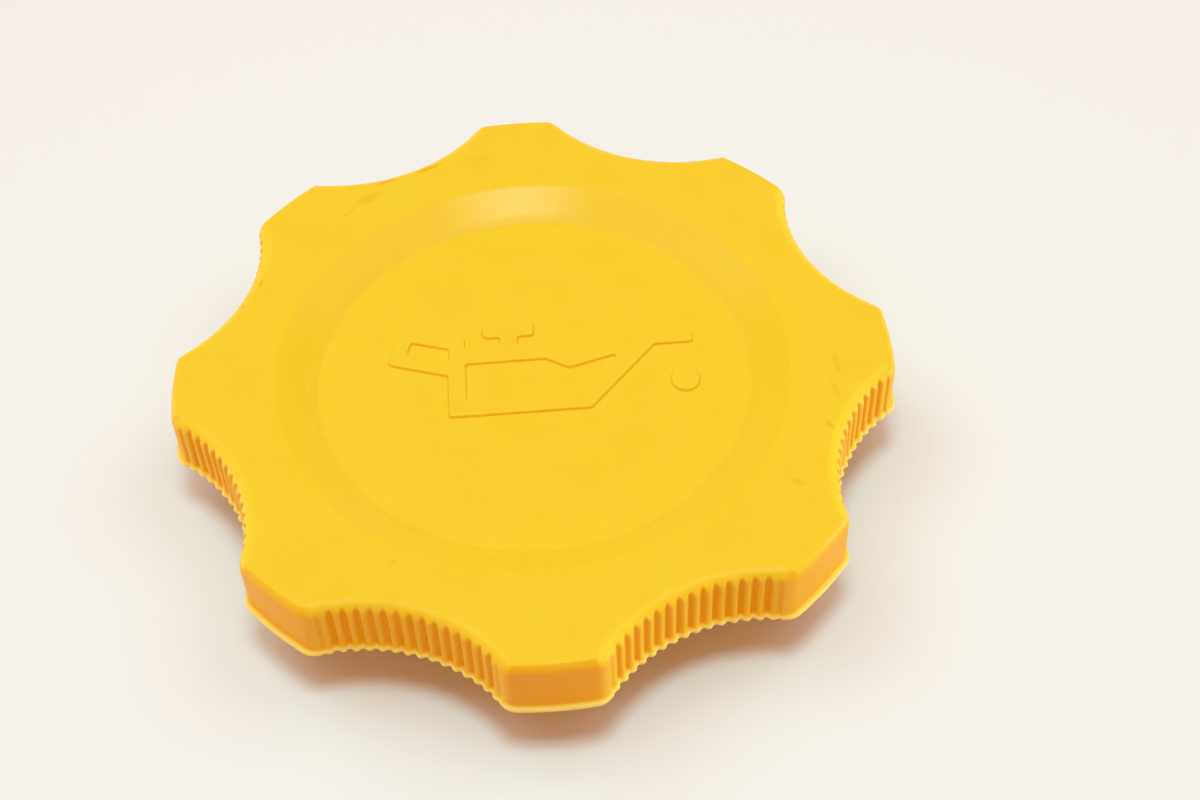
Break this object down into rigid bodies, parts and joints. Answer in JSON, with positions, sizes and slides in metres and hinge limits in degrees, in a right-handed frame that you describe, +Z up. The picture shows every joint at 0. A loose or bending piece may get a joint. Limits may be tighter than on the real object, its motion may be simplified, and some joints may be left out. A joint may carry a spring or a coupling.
{
  "type": "oil filler cap",
  "caption": "Round engine oil filler cap with a lobed, reeded grip, a dished top, a hollow bayonet spigot and a rubber seal ring.",
  "frame": {"origin": "on the cap's axis, in the plane of the spigot's lower end, on which the cap stands", "axes": "+Z up along the cap's axis, out of its dished top; +X through the middle of one lobe"},
  "size_m": [0.0806, 0.0806, 0.0148],
  "materials": {
    "yellow_plastic": "moulded nylon, fine satin grain",
    "black_rubber": "moulded nitrile rubber, matt"
  },
  "bodies": {
    "root": {"cap_body": "yellow_plastic", "seal_ring": "black_rubber"}
  },
  "joints": []
}
